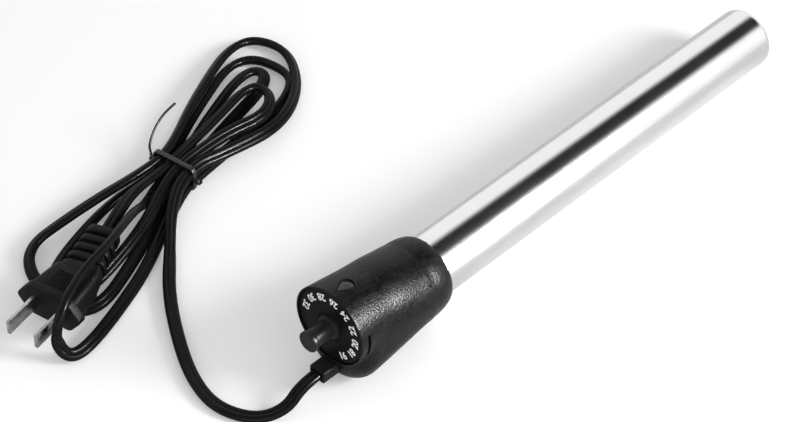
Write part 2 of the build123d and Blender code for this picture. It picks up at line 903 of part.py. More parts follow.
with BuildPart() as plug_blades:
    blades(-blade_out, blade_in, 0)
    for solid in solids():
        tip = solid.faces().sort_by(Axis(plug_face.origin, plug_face.z_dir))[0]
        chamfer(tip.edges(), 0.4)
finish(plug_blades, "plug_blades")

relief_start_size = (17.0, 9.8)
relief_tip_size = (12.8, 8.8)
relief_corner = 3.2
relief_ribs = 5
relief_groove_depth = 1.2
relief_groove_share = 0.36
relief_wedge = 2.6


def relief_outline(out, inset=0.0):
    """The relief's cross-section at a distance from the collar, less an inset all round."""
    share = out / relief_length
    wide, tall = (
        first + (last - first) * share - 2 * inset
        for first, last in zip(relief_start_size, relief_tip_size)
    )
    with BuildSketch(relief_face.offset(out)) as outline:
        RectangleRounded(wide, tall, relief_corner - inset)
    return outline.sketch.face()


with BuildPart() as plug_relief:
    relief_face = Plane(
        origin=body_end, x_dir=heading(relief_bearing, 0, 1), z_dir=heading(relief_bearing)
    )
    relief_pitch = relief_length / relief_ribs
    groove_long = relief_groove_share * relief_pitch
    loft(
        [
            relief_outline(-relief_wedge, relief_groove_depth),
            relief_outline(relief_length, relief_groove_depth),
        ]
    )
    for rib in range(relief_ribs):
        rib_start = rib * relief_pitch + groove_long / 2 if rib else -relief_wedge
        rib_end = (rib + 1) * relief_pitch
        if rib < relief_ribs - 1:
            rib_end -= groove_long / 2
        loft([relief_outline(rib_start), relief_outline(rib_end)])
    split(bisect_by=Plane(origin=body_end, z_dir=heading(plug_bearing)), keep=Keep.TOP)
finish(plug_relief, "plug_relief")
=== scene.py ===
import json
from math import acos, atan, cos, degrees, pi, radians, sin, sqrt, tan

import bpy
from mathutils import Matrix, Vector


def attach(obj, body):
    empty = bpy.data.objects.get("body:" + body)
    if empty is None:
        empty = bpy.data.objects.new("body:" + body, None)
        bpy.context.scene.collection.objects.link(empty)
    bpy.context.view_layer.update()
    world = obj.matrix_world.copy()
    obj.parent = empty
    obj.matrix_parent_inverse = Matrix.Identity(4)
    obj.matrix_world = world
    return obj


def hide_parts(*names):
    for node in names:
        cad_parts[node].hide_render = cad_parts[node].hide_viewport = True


# A submersible aquarium heater with its flat cord tied in a hank.  Pieces of the heater are
# modelled in millimetres along its own axis: x is the station behind the dial's rim, y is the
# side and z is the height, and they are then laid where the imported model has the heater.

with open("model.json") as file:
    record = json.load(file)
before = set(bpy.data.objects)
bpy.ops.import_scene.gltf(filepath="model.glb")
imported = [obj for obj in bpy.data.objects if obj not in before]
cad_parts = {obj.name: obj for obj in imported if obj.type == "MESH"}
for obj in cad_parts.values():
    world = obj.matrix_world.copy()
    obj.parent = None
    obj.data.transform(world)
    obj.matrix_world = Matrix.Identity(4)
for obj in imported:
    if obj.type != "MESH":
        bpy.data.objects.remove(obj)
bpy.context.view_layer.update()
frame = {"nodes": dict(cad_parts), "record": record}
record = frame["record"]
mounts = {mount["name"]: mount for mount in record["mounts"]}
joints = {joint["name"]: joint for joint in record["behaviour"]["joints"]}

MM = 0.001
MERGE_GAP, REPEAT_GAP = 0.002, 0.01
along = Vector(mounts["tube"]["axis"])
side = Vector((0, 1, 0))
up = along.cross(side)
tube_middle = Vector(mounts["tube"]["pos_m"])
dial_middle = Vector(joints["dial_turn"]["pos_m"])
DIAL_H = (dial_middle - tube_middle).dot(up) / MM
rim_middle = dial_middle - up * DIAL_H * MM

LIE = Matrix.Translation(rim_middle) @ Matrix((along, side, up)).transposed().to_4x4()
LIE = LIE @ Matrix.Scale(MM, 4)
WORLD = Matrix.Scale(MM, 4)

TUBE_R = mounts["tube"]["dims"]["r_mm"]
TUBE_LONG = mounts["tube"]["dims"]["length_mm"]
TUBE_START = (tube_middle - rim_middle).dot(along) / MM - TUBE_LONG / 2
END_ROUND = 3.0
TUBE_END = TUBE_START + TUBE_LONG + END_ROUND


# ---- modelling by hand ----


def choose(*pieces):
    """Selects these pieces alone; the first is the active one."""
    if bpy.context.object and bpy.context.object.mode != "OBJECT":
        bpy.ops.object.mode_set(mode="OBJECT")
    bpy.ops.object.select_all(action="DESELECT")
    for piece in pieces:
        piece.select_set(True)
    bpy.context.view_layer.objects.active = pieces[0]


def open_up(piece, kind="FACE", wanted=None):
    """Goes into edit mode with all of the piece selected, or only its parts that are wanted."""
    choose(piece)
    bpy.ops.object.mode_set(mode="EDIT")
    bpy.ops.mesh.select_mode(type=kind)
    bpy.ops.mesh.select_all(action="SELECT" if wanted is None else "DESELECT")
    if wanted is not None:
        bpy.ops.object.mode_set(mode="OBJECT")
        mesh = piece.data
        if kind == "FACE":
            for face in mesh.polygons:
                face.select = wanted(face)
        elif kind == "EDGE":
            for edge in mesh.edges:
                edge.select = wanted(*(mesh.vertices[index].co for index in edge.vertices))
        else:
            for point in mesh.vertices:
                point.select = wanted(point.co)
        bpy.ops.object.mode_set(mode="EDIT")


def close_up():
    bpy.ops.object.mode_set(mode="OBJECT")


def tidy_normals(piece):
    """Merges doubled points and turns every face outwards."""
    open_up(piece)
    bpy.ops.mesh.remove_doubles(threshold=MERGE_GAP)
    bpy.ops.mesh.normals_make_consistent(inside=False)
    close_up()


def new_piece(name, points, edges=(), faces=()):
    """A mesh object of these points, at the origin."""
    mesh = bpy.data.meshes.new(name)
    mesh.from_pydata([tuple(point) for point in points], list(edges), list(faces))
    piece = bpy.data.objects.new(name, mesh)
    bpy.context.collection.objects.link(piece)
    return piece


def arc(x, y, radius, start, end, count=8):
    """Points round part of a circle, by angles from the x direction in degrees."""
    turns = [radians(start + (end - start) * index / count) for index in range(count + 1)]
    return [(x + radius * cos(turn), y + radius * sin(turn)) for turn in turns]


def turned(name, outline, height=0.0, steps=96, closed=False):
    """Spins an outline of (station, radius) points round the line at this height."""
    count = len(outline)
    edges = [(index, index + 1) for index in range(count - 1)]
    if closed:
        edges.append((count - 1, 0))
    piece = new_piece(name, [(x, 0, height + radius) for x, radius in outline], edges)
    open_up(piece, "EDGE")
    bpy.ops.mesh.spin(steps=steps, angle=2 * pi, center=(0, 0, height), axis=(1, 0, 0))
    close_up()
    tidy_normals(piece)
    return piece


def slab(name, outline, depth, place=None):
    """Extrudes a flat outline of (x, y) points upwards by a depth, and puts it in place."""
    piece = new_piece(name, [(x, y, 0) for x, y in outline], (), [range(len(outline))])
    open_up(piece)
    bpy.ops.mesh.extrude_region_move(TRANSFORM_OT_translate={"value": (0, 0, depth)})
    bpy.ops.mesh.select_all(action="SELECT")
    bpy.ops.mesh.normals_make_consistent(inside=False)
    close_up()
    if place is not None:
        piece.data.transform(place)
    return piece


def brick(name, low, high):
    """A block between two corners."""
    bpy.ops.object.select_all(action="DESELECT")
    bpy.ops.mesh.primitive_cube_add(size=1)
    piece = bpy.context.object
    piece.name = piece.data.name = name
    middle, spread = (Vector(low) + Vector(high)) / 2, Vector(high) - Vector(low)
    piece.data.transform(Matrix.Translation(middle) @ Matrix.Diagonal((*spread, 1)))
    return piece


def soften(piece, width, segments=3, wanted=None):
    """Rounds a piece's edges, or only those between two points that are wanted."""
    open_up(piece, "EDGE", wanted)
    bpy.ops.mesh.bevel(offset=width, segments=segments, profile=0.5, affect="EDGES")
    close_up()


def runs_along(axis, least):
    """Wants the edges that go more than this far along an axis, such as "z"."""
    return lambda a, b: abs(getattr(a, axis) - getattr(b, axis)) > least


def lies_across(axis):
    """Wants the edges that lie square to an axis."""
    return lambda a, b: abs(getattr(a, axis) - getattr(b, axis)) < 0.01


def finish_with(piece, kind, **settings):
    """Adds a modifier with these settings and applies it."""
    choose(piece)
    modifier = piece.modifiers.new(kind.title(), kind)
    for key, value in settings.items():
        setattr(modifier, key, value)
    bpy.ops.object.modifier_apply(modifier=modifier.name)


def carve(piece, cutter, way="DIFFERENCE"):
    """Cuts a cutter out of a piece, or joins it on, and throws the cutter away."""
    finish_with(piece, "BOOLEAN", operation=way, solver="EXACT", object=cutter)
    bpy.data.objects.remove(cutter)


def join(name, pieces):
    """Makes one object of several."""
    choose(*pieces)
    bpy.ops.object.join()
    pieces[0].name = pieces[0].data.name = name
    return pieces[0]


def ready(piece, body, finish, place=None, stands_for=(), smooth=32):
    """Puts a piece in its place, smooths it, gives it its finish and hangs it on its body."""
    if place is not None:
        piece.data.transform(place)
    choose(piece)
    bpy.ops.object.shade_smooth_by_angle(angle=radians(smooth))
    piece.data.materials.clear()
    piece.data.materials.append(finish)
    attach(piece, body)
    if stands_for:
        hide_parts(*stands_for)
    return piece


def skin(name, rings, looped=False):
    """Faces between rings of points, each to the next; looped closes the last to the first."""
    count = len(rings[0])
    points = [point for ring in rings for point in ring]
    faces = []
    pairs = list(zip(range(len(rings)), range(1, len(rings))))
    if looped:
        pairs.append((len(rings) - 1, 0))
    for first, second in pairs:
        for index in range(count):
            after = (index + 1) % count
            faces.append(
                (
                    first * count + index,
                    first * count + after,
                    second * count + after,
                    second * count + index,
                )
            )
    if not looped:
        faces.append(tuple(range(count)))
        faces.append(tuple(range((len(rings) - 1) * count, len(rings) * count)))
    piece = new_piece(name, points, (), faces)
    tidy_normals(piece)
    return piece


def smooth_line(name, points, steps=12):
    """The points, in millimetres, of a smooth line that is drawn by these control points.

    Points closer than the repeat gap are left out.
    """
    curve = bpy.data.curves.new(name, "CURVE")
    curve.dimensions = "3D"
    curve.resolution_u = steps
    spline = curve.splines.new("NURBS")
    spline.points.add(len(points) - 1)
    for point, wanted in zip(spline.points, points):
        point.co = (*wanted, 1)
    spline.order_u = 3
    spline.use_endpoint_u = True
    holder = bpy.data.objects.new(name, curve)
    mesh = bpy.data.meshes.new_from_object(holder)
    line = [mesh.vertices[0].co.copy()]
    for vertex in mesh.vertices:
        if (vertex.co - line[-1]).length > REPEAT_GAP:
            line.append(vertex.co.copy())
    bpy.data.objects.remove(holder)
    bpy.data.curves.remove(curve)
    bpy.data.meshes.remove(mesh)
    return line


def distances(line):
    """How far along a line each of its points is."""
    so_far = [0.0]
    for first, second in zip(line, line[1:]):
        so_far.append(so_far[-1] + (second - first).length)
    return so_far


def swept(name, line, section, tilt=lambda away, left: 0.0):
    """Sweeps a flat section of (across, up) points along a line.

    The tilt is in degrees, from how far along a point is and how much of the line is left.
    """
    run = distances(line)
    rings = []
    for index, point in enumerate(line):
        ahead = line[min(index + 1, len(line) - 1)] - line[max(index - 1, 0)]
        ahead.normalize()
        across = Vector((0, 0, 1)).cross(ahead).normalized()
        raised = ahead.cross(across)
        turn = radians(tilt(run[index], run[-1] - run[index]))
        wide = across * cos(turn) + raised * sin(turn)
        high = raised * cos(turn) - across * sin(turn)
        rings.append([point + wide * x + high * y for x, y in section])
    return skin(name, rings)


def heading(bearing, away=1.0, aside=0.0):
    """A flat vector: so far along a bearing from +X, in degrees, and so far to its left."""
    turn = radians(bearing)
    return Vector(
        (away * cos(turn) - aside * sin(turn), away * sin(turn) + aside * cos(turn), 0)
    )


def eased(value, start, end):
    """0 before the start, 1 after the end and a soft step between them."""
    share = min(max((value - start) / (end - start), 0), 1)
    return share * share * (3 - 2 * share)


# ---- finishes ----


def material(name, colour, roughness, metallic=0.0, mottle=0.1, patch=0.004, grain=0.0003,
             relief=0.1, wear=0.08, **sockets):
    """A finish with faint patches of tone and gloss, and a fine grain in its surface."""
    finish = bpy.data.materials.new(name)
    finish.use_nodes = True
    nodes, links = finish.node_tree.nodes, finish.node_tree.links
    shader = nodes["Principled BSDF"]
    shader.inputs["Metallic"].default_value = metallic
    for socket, value in sockets.items():
        shader.inputs[socket.replace("_", " ")].default_value = value
    place = nodes.new("ShaderNodeTexCoord")

    patches = nodes.new("ShaderNodeTexNoise")
    patches.inputs["Scale"].default_value = 1 / patch
    patches.inputs["Detail"].default_value = 3
    links.new(place.outputs["Object"], patches.inputs["Vector"])

    tones = nodes.new("ShaderNodeValToRGB")
    tones.color_ramp.elements[0].position = 0.3
    tones.color_ramp.elements[1].position = 0.7
    tones.color_ramp.elements[0].color = (*(part * (1 - mottle) for part in colour), 1)
    tones.color_ramp.elements[1].color = (*(min(part * (1 + mottle), 1) for part in colour), 1)
    links.new(patches.outputs["Fac"], tones.inputs["Fac"])
    links.new(tones.outputs["Color"], shader.inputs["Base Color"])

    gloss = nodes.new("ShaderNodeMapRange")
    gloss.inputs["To Min"].default_value = max(roughness - wear, 0.02)
    gloss.inputs["To Max"].default_value = min(roughness + wear, 1)
    links.new(patches.outputs["Fac"], gloss.inputs["Value"])
    links.new(gloss.outputs["Result"], shader.inputs["Roughness"])

    specks = nodes.new("ShaderNodeTexNoise")
    specks.name = "Grain"
    specks.inputs["Scale"].default_value = 1 / grain
    specks.inputs["Detail"].default_value = 2
    links.new(place.outputs["Object"], specks.inputs["Vector"])
    bump = nodes.new("ShaderNodeBump")
    bump.inputs["Strength"].default_value = relief
    bump.inputs["Distance"].default_value = grain
    links.new(specks.outputs["Fac"], bump.inputs["Height"])
    links.new(bump.outputs["Normal"], shader.inputs["Normal"])
    return finish


def stretch(finish, node, scales):
    """Draws one of a finish's patterns out, by its scale along each direction."""
    nodes, links = finish.node_tree.nodes, finish.node_tree.links
    mapping = nodes.new("ShaderNodeMapping")
    mapping.inputs["Scale"].default_value = scales
    pattern = nodes[node]
    links.new(pattern.inputs["Vector"].links[0].from_socket, mapping.inputs["Vector"])
    links.new(mapping.outputs["Vector"], pattern.inputs["Vector"])
    return finish


polished_steel = stretch(
    material("polished_steel", (0.86, 0.86, 0.865), 0.18, 1.0, mottle=0.015, patch=0.02,
             grain=0.0004, relief=0.015, wear=0.03),
    "Grain",
    (0.02, 1, 1),
)
eroded_plastic = material(
    "eroded_plastic", (0.006, 0.006, 0.007), 0.33, mottle=0.5, patch=0.0019, grain=0.0008,
    relief=0.22, wear=0.16, Specular_IOR_Level=0.16,
)
dial_plastic = material(
    "dial_plastic", (0.005, 0.005, 0.006), 0.4, mottle=0.2, patch=0.003, grain=0.0003,
    relief=0.2, Specular_IOR_Level=0.1,
)
knob_plastic = material(
    "knob_plastic", (0.014, 0.014, 0.015), 0.32, mottle=0.15, patch=0.003, grain=0.0003,
    relief=0.12, Specular_IOR_Level=0.2,
)
white_ink = material(
    "white_ink", (0.92, 0.92, 0.9), 0.5, mottle=0.03, patch=0.001, grain=0.0002, relief=0.1
)
window_plastic = material(
    "window_plastic", (0.018, 0.016, 0.016), 0.16, mottle=0.1, patch=0.002, grain=0.0005,
    relief=0.03, wear=0.03,
)
gland_rubber = material(
    "gland_rubber", (0.009, 0.009, 0.01), 0.38, mottle=0.15, patch=0.002, grain=0.0003,
    relief=0.2, Specular_IOR_Level=0.16,
)
cord_pvc = material(
    "cord_pvc", (0.007, 0.007, 0.008), 0.17, mottle=0.15, patch=0.006, grain=0.0006,
    relief=0.05, wear=0.05, Specular_IOR_Level=0.08,
)
plug_pvc = material(
    "plug_pvc", (0.005, 0.005, 0.006), 0.36, mottle=0.25, patch=0.003, grain=0.00035,
    relief=0.3, wear=0.1, Specular_IOR_Level=0.12,
)
tie_plastic = material(
    "tie_plastic", (0.012, 0.012, 0.013), 0.38, mottle=0.15, patch=0.002, grain=0.0003,
    relief=0.1,
)
blade_metal = stretch(
    material("blade_metal", (0.42, 0.41, 0.4), 0.26, 1.0, mottle=0.3, patch=0.004,
             grain=0.0002, relief=0.12, wear=0.1),
    "Grain",
    (0.1, 1, 1),
)

INNER_FINISHES = {
    "seal_rubber": ((0.03, 0.03, 0.03), 0.6, 0.0),
    "brass": ((0.72, 0.52, 0.22), 0.3, 1.0),
    "spring_steel": ((0.55, 0.55, 0.56), 0.3, 1.0),
    "nylon": ((0.75, 0.73, 0.66), 0.5, 0.0),
    "ceramic_board": ((0.78, 0.76, 0.7), 0.55, 0.0),
    "contact_silver": ((0.8, 0.8, 0.78), 0.25, 1.0),
    "magnet_black": ((0.06, 0.06, 0.06), 0.5, 0.3),
    "fuse_tin": ((0.62, 0.62, 0.62), 0.35, 1.0),
    "ceramic": ((0.82, 0.8, 0.76), 0.6, 0.0),
    "winding_wire": ((0.42, 0.38, 0.34), 0.4, 1.0),
    "mica": ((0.62, 0.55, 0.4), 0.45, 0.0),
    "wire_brown": ((0.2, 0.1, 0.05), 0.45, 0.0),
    "resin": ((0.05, 0.05, 0.055), 0.5, 0.0),
    "lamp_glass": ((0.7, 0.5, 0.42), 0.1, 0.0),
    "resistor_body": ((0.6, 0.5, 0.36), 0.5, 0.0),
    "spindle": ((0.5, 0.5, 0.51), 0.3, 1.0),
}
inner_finishes = {
    slot: material(slot + "_finish", colour, roughness, metallic, mottle=0.08, patch=0.002,
                   grain=0.0002, relief=0.1)
    for slot, (colour, roughness, metallic) in INNER_FINISHES.items()
}
outer_finishes = {
    "steel": polished_steel,
    "shell_plastic": eroded_plastic,
    "dial_plastic": dial_plastic,
    "knob_plastic": knob_plastic,
    "lens": window_plastic,
    "gland_rubber": gland_rubber,
    "cord_pvc": cord_pvc,
    "tie": tie_plastic,
    "plug_pvc": plug_pvc,
    "blade_metal": blade_metal,
}
for subpart in record["subparts"]:
    node = frame["nodes"][subpart["node"]]
    slot = subpart["material_slot"]
    node.data.materials.clear()
    node.data.materials.append({**inner_finishes, **outer_finishes}[slot])


# ---- camera ----
CAMERA_AT = (-0.6593, -0.5522, 0.8807)
CAMERA_BACK = (-0.506, -0.4829, 0.7147)
CAMERA_LENS, CAMERA_SENSOR, CAMERA_REACH = 144.6, 36, 20
camera = bpy.data.objects.new("camera", bpy.data.cameras.new("camera"))
bpy.context.collection.objects.link(camera)
camera.data.sensor_width = CAMERA_SENSOR
camera.data.lens = CAMERA_LENS
camera.data.clip_end = CAMERA_REACH
camera.location = CAMERA_AT
camera.rotation_mode = "QUATERNION"
camera.rotation_quaternion = (-Vector(CAMERA_BACK)).to_track_quat("-Z", "Y")
bpy.context.scene.camera = camera


# ---- cord: a flat twin lead that lies flat at its ends and leans over in the hank ----
CORE_R = 1.62
CORE_SIDE = 0.98
CORD_WIDE = 2 * (CORE_R + CORE_SIDE)
CORD_PITCH = 4.9
CLEAR = 0.1
flat = CORE_R + CLEAR
low = CORD_WIDE / 2 + CLEAR
high = low + CORD_WIDE
ENTRY_STATION, CHANNEL_H = -5.8, -14.1
ENTRY_IN = 0.8
WAIST_AT = (-83.0, 116.5)
WAIST_BEARING = 8.0
WAIST_HALF = 7.0
TIE_THICK = 0.6
waist_low = CLEAR + TIE_THICK + CLEAR + CORD_WIDE / 2
waist_high = waist_low + CORD_WIDE
PLUG_Z = 12.0
PLUG_BEARING = 10.5
RELIEF_BEARING = 23.5
RELIEF_LONG = 24.5
RELIEF_TIP = Vector((-129.0, 106.3, PLUG_Z))
LEAD_LONG = 116.0
LEAN, LEAN_SWING = 47, 16


def heater_point(station, aside, height):
    """A point of the heater, in the model's millimetres."""
    return (LIE @ Vector((station, aside, height))) / MM


def waist_point(end, column, height):
    """A strand's place at one end of the waist, by its column across the bundle."""
    offset = heading(WAIST_BEARING, WAIST_HALF * end, (1.5 - column) * CORD_PITCH)
    return Vector((*WAIST_AT, height)) + offset


def loop_point(bearing, away, aside, height):
    """A loop's corner, by its distance from the waist along and beside a bearing."""
    return Vector((*WAIST_AT, height)) + heading(bearing, away, aside)


# Each pass through the waist has a column and a layer; a loop leads on from it to the next.
PASSES = [
    (3, waist_high),
    (0, waist_high),
    (2, waist_low),
    (1, waist_low),
    (3, waist_low),
    (0, waist_low),
    (2, waist_high),
    (1, waist_high),
]
LOOPS = [
    [
        loop_point(15.2, *corner)
        for corner in [
            (15.5, -13.2, high),
            (41, -23.8, low + 3.25),
            (67.5, -17.5, low),
            (85.5, -1, low),
            (80.5, 20, low),
            (37, 13.6, high - 0.45),
        ]
    ],
    [
        loop_point(190, *corner)
        for corner in [
            (38, -17.2, high - 0.95),
            (71, -25.5, low),
            (84, 20.5, low),
            (35, 12.2, low),
        ]
    ],
    [
        loop_point(15.8, *corner)
        for corner in [(30, -3.2, low), (67, -6.0, low), (67, 6.4, low), (30, 5.2, low)]
    ],
    [
        (-104, 111.5, low + 2.15),
        (-114, 106, 14),
        (-138.6, 94.2, 21),
        (-154, 90.8, 21.8),
        (-168.6, 84, 22.9),
        (-176.3, 80.5, 17.4),
        (-178, 79.8, 8),
        (-175.5, 75.2, low),
        (-166, 75, low),
        (-147.5, 80.2, low),
        (-123.5, 88.8, low),
    ],
    [
        loop_point(16.3, *corner)
        for corner in [
            (36, -14, low),
            (56, -18.5, low),
            (73, -13, low),
            (73, 13.5, low),
            (33, 11, low),
        ]
    ],
    [
        loop_point(188.7, *corner)
        for corner in [
            (29.5, -12.5, low),
            (75, -6.5, low),
            (75, 11, low),
            (37, 11.7, high - 0.25),
        ]
    ],
    [
        loop_point(7, *corner)
        for corner in [
            (28, -5.2, high + 0.55),
            (43, -11, high + 0.55),
            (54.5, -5.5, high + 0.55),
            (54.5, 5.5, high + 0.55),
            (28, 3.5, high + 0.55),
        ]
    ],
]

route = [
    heater_point(ENTRY_STATION + ENTRY_IN, 0, CHANNEL_H),
    heater_point(ENTRY_STATION - 8, 0, CHANNEL_H),
    Vector((-138.8, -0.6, 3.4)),
    Vector((-149, 5, flat)),
    Vector((-154.8, 19.2, flat)),
    Vector((-152, 34, flat + 0.3)),
    Vector((-144, 50, low)),
    Vector((-129, 72, low)),
    Vector((-113, 88, low + 1.25)),
    Vector((-102.4, 98.6, low + 5.15)),
]
for turn, (column, height) in enumerate(PASSES):
    ends = (-1, 1) if turn % 2 == 0 else (1, -1)
    route += [waist_point(end, column, height) for end in ends]
    if turn < len(LOOPS):
        route += LOOPS[turn]
RELIEF_IN = 1.5
route += [
    (-106, 115.8, 10.9),
    RELIEF_TIP + heading(RELIEF_BEARING, 11.5),
    RELIEF_TIP - heading(RELIEF_BEARING, RELIEF_IN),
]


def cord_tilt(away, left):
    """The flat cord lies down at both ends and leans over more and less in the hank."""
    lean = LEAN + LEAN_SWING * sin(away / 23) * cos(away / 61)
    return lean * eased(away, LEAD_LONG - 6, LEAD_LONG + 14) * eased(left, 10, 40)


groove = degrees(acos(CORE_SIDE / CORE_R))
cord_section = arc(CORE_SIDE, 0, CORE_R, groove - 180, 180 - groove, 11)
cord_section += arc(-CORE_SIDE, 0, CORE_R, groove, 360 - groove, 11)[1:-1]
cord_line = smooth_line("cord_line", route)
cord = swept("mains_cord", cord_line, cord_section, cord_tilt)
ready(cord, "base", cord_pvc, WORLD, ("cord_lead", "cord_hank"), smooth=50)
cord_long = distances(cord_line)[-1]
print(f"cord length {cord_long:.0f} mm, {len(cord_line)} points")


# ---- tube: stainless steel, with a rounded closed end ----
TUBE_WALL = 0.8
NECK_START, NECK_R = 38.0, TUBE_R - 0.2
bore_r = TUBE_R - TUBE_WALL
bore_end = TUBE_END - TUBE_WALL
inner_round = END_ROUND - TUBE_WALL
tube_outline = [(bore_end, 0)]
tube_outline += arc(bore_end - inner_round, bore_r - inner_round, inner_round, 0, 90)
tube_outline += [(NECK_START, bore_r), (NECK_START, NECK_R), (TUBE_START, NECK_R)]
tube_outline += arc(TUBE_START + 0.15, TUBE_R - 0.15, 0.15, 180, 90, 3)
tube_outline += arc(TUBE_END - END_ROUND, TUBE_R - END_ROUND, END_ROUND, 90, 0, 12)
tube_outline += [(TUBE_END, 0)]
tube = turned("steel_tube", tube_outline, steps=144)
ready(tube, "base", polished_steel, LIE, ("tube",), smooth=25)


# ---- head: a pod behind the dial, a lobe round the cord entry, and a dome over the socket ----
POD = [(0, 6.5, 16.9), (9, 6.0, 16.2), (18, 4.8, 15.9), (28, 3.0, 16.2), (41, 0, 16.3)]
LOBE = [(1.6, -5.9, 16.3), (10, -5.7, 16.3), (24, -2.9, 16.5), (41, -0.5, 16.05)]
LOBE_START, LOBE_ROUND = 1.6, 8.4
SHOULDER, SHOULDER_R = 41.0, 16.3
DOME_LONG, DOME_END_R = 10.5, 13.3
BLEND = 1.3
HEAD_SIDES, ROUND_STEPS, RING_STEP = 168, 12, 1.0
RECESS_R, RECESS_DEEP = 16.1, 2.9
BUSH_R = 4.1
WALL_END, CAVITY_R = 8.0, 13.4
STOP_START = 36.0
# The head's rays start from this share of a circle's height above the axis.
RAY_SHARE = 0.4


def drawn_through(stations, station):
    """Height and radius at a station, on a smooth line through those given."""
    stations = list(stations)
    station = min(max(station, stations[0][0]), stations[-1][0])
    slopes = []
    for index in range(len(stations)):
        before = stations[max(index - 1, 0)]
        after = stations[min(index + 1, len(stations) - 1)]
        slopes.append([(after[k] - before[k]) / (after[0] - before[0]) for k in (1, 2)])
    for index in range(len(stations) - 1):
        start, end = stations[index], stations[index + 1]
        if station <= end[0]:
            break
    gap = end[0] - start[0]
    share = (station - start[0]) / gap
    return [
        (2 * share**3 - 3 * share**2 + 1) * start[k]
        + (share**3 - 2 * share**2 + share) * gap * slopes[index][k - 1]
        + (3 * share**2 - 2 * share**3) * end[k]
        + (share**3 - share**2) * gap * slopes[index + 1][k - 1]
        for k in (1, 2)
    ]


def circle_reach(turn, middle, height, radius):
    """How far a ray from the middle height goes to a circle about another height."""
    rise = height - middle
    along_ray = rise * cos(turn)
    return along_ray + sqrt(max(radius**2 - rise**2 + along_ray**2, 0))


def lobe_reach(turn, middle, bottom, radius):
    """How far a ray goes to the round-ended oval between a bottom height and the axis."""
    across = abs(sin(turn))
    if across > 1e-6:
        flank = radius / across
        if bottom <= middle + flank * cos(turn) <= 0:
            return flank
    return max(
        circle_reach(turn, middle, bottom, radius) if cos(turn) < 0 else 0,
        circle_reach(turn, middle, 0, radius),
    )


def head_ring(station, middle, reach):
    """A ring of the head, from how far it reaches at each turn from upright."""
    turns = [2 * pi * index / HEAD_SIDES for index in range(HEAD_SIDES)]
    return [
        Vector((station, reach(turn) * sin(turn), middle + reach(turn) * cos(turn)))
        for turn in turns
    ]


def round_ring(station, height, radius):
    """A round ring of the head about a height."""
    middle = height * RAY_SHARE
    return head_ring(station, middle, lambda turn: circle_reach(turn, middle, height, radius))


def outer_ring(station, with_lobe=True, trim=0.0):
    """The head's outside at a station: the pod with the lobe blended on below."""
    height, radius = drawn_through(POD, station)
    middle = height * RAY_SHARE
    bottom, lobe_r = drawn_through(LOBE, station)
    if station < LOBE_START + LOBE_ROUND:
        into = LOBE_ROUND - (station - LOBE_START)
        lobe_r -= LOBE_ROUND - sqrt(max(LOBE_ROUND**2 - into**2, 0))

    def reach(turn):
        pod = circle_reach(turn, middle, height, radius - trim)
        if not with_lobe:
            return pod
        lobe = lobe_reach(turn, middle, bottom, lobe_r)
        near = max(BLEND - abs(pod - lobe), 0) / BLEND
        return max(pod, lobe) + near**2 * BLEND / 4

    return head_ring(station, middle, reach)


def dome(turn):
    """The station and radius of the shoulder's dome at a turn from its start."""
    return (
        SHOULDER + DOME_LONG * sin(turn),
        DOME_END_R + (SHOULDER_R - DOME_END_R) * cos(turn),
    )


rings = [round_ring(0.12, DIAL_H, RECESS_R), round_ring(0, DIAL_H, RECESS_R + 0.12)]
rings += [outer_ring(0, False, 0.3), outer_ring(0.09, False, 0.09), outer_ring(0.3, False)]
rings += [outer_ring(0.9, False), outer_ring(LOBE_START, False)]
for step in range(ROUND_STEPS + 1):
    turn = radians(90 * step / ROUND_STEPS)
    rings.append(outer_ring(LOBE_START + LOBE_ROUND * (1 - cos(turn))))
station = LOBE_START + LOBE_ROUND + RING_STEP
while station < SHOULDER:
    rings.append(outer_ring(station))
    station += RING_STEP
for step in range(ROUND_STEPS + 1):
    station, radius = dome(radians(90 * step / ROUND_STEPS))
    rings.append(round_ring(station, 0, radius))
head_end = SHOULDER + DOME_LONG
socket_r = NECK_R + 0.1
for station, height, radius in [
    (head_end, 0, DOME_END_R - 0.25),
    (head_end, 0, socket_r + 0.15),
    (head_end - 0.15, 0, socket_r),
    (NECK_START, 0, socket_r),
    (NECK_START, 0, bore_r),
    (STOP_START, 0, bore_r),
    (STOP_START, 0, CAVITY_R),
    (WALL_END, 0, CAVITY_R),
    (WALL_END, DIAL_H, BUSH_R),
    (RECESS_DEEP, DIAL_H, BUSH_R),
    (RECESS_DEEP, DIAL_H, RECESS_R),
]:
    rings.append(round_ring(station, height, radius))
head = skin("head", rings, looped=True)

# The indicator's teardrop window is cut square to the pod's top line.
LENS_R, LENS_TIP, LENS_MIDDLE = 2.75, 3.0, 9.0
LENS_SINK, LENS_THICK = 0.4, 1.5
rim_top = POD[0][1] + POD[0][2]
top_drop = atan((rim_top - POD[1][1] - POD[1][2]) / POD[1][0])
WINDOW = Matrix.Translation((LENS_MIDDLE, 0, rim_top - LENS_MIDDLE * tan(top_drop)))
WINDOW = WINDOW @ Matrix.Rotation(top_drop, 4, "Y")


def teardrop(radius):
    """The indicator's outline, pointed towards the dial."""
    reach = (LENS_MIDDLE - LENS_TIP) * radius / LENS_R
    touch = degrees(acos(radius / reach))
    return arc(0, 0, radius, touch - 180, 180 - touch, 28) + [(-reach, 0)]


def dropped(depth):
    return WINDOW @ Matrix.Translation((0, 0, -depth))


LIP_WIDE, LIP_TALL, LIP_IN, LIP_EDGE = 0.55, 0.95, 0.8, 0.12
LENS_GAP, POCKET_DEEP = 0.08, 6
lip = slab("lip", teardrop(LENS_R + LIP_WIDE), LIP_TALL, dropped(LIP_IN))
soften(lip, LIP_EDGE, 2)
carve(head, lip, "UNION")
window_floor = dropped(LENS_SINK + LENS_THICK)
carve(head, slab("pocket", teardrop(LENS_R + LENS_GAP), POCKET_DEEP, window_floor))

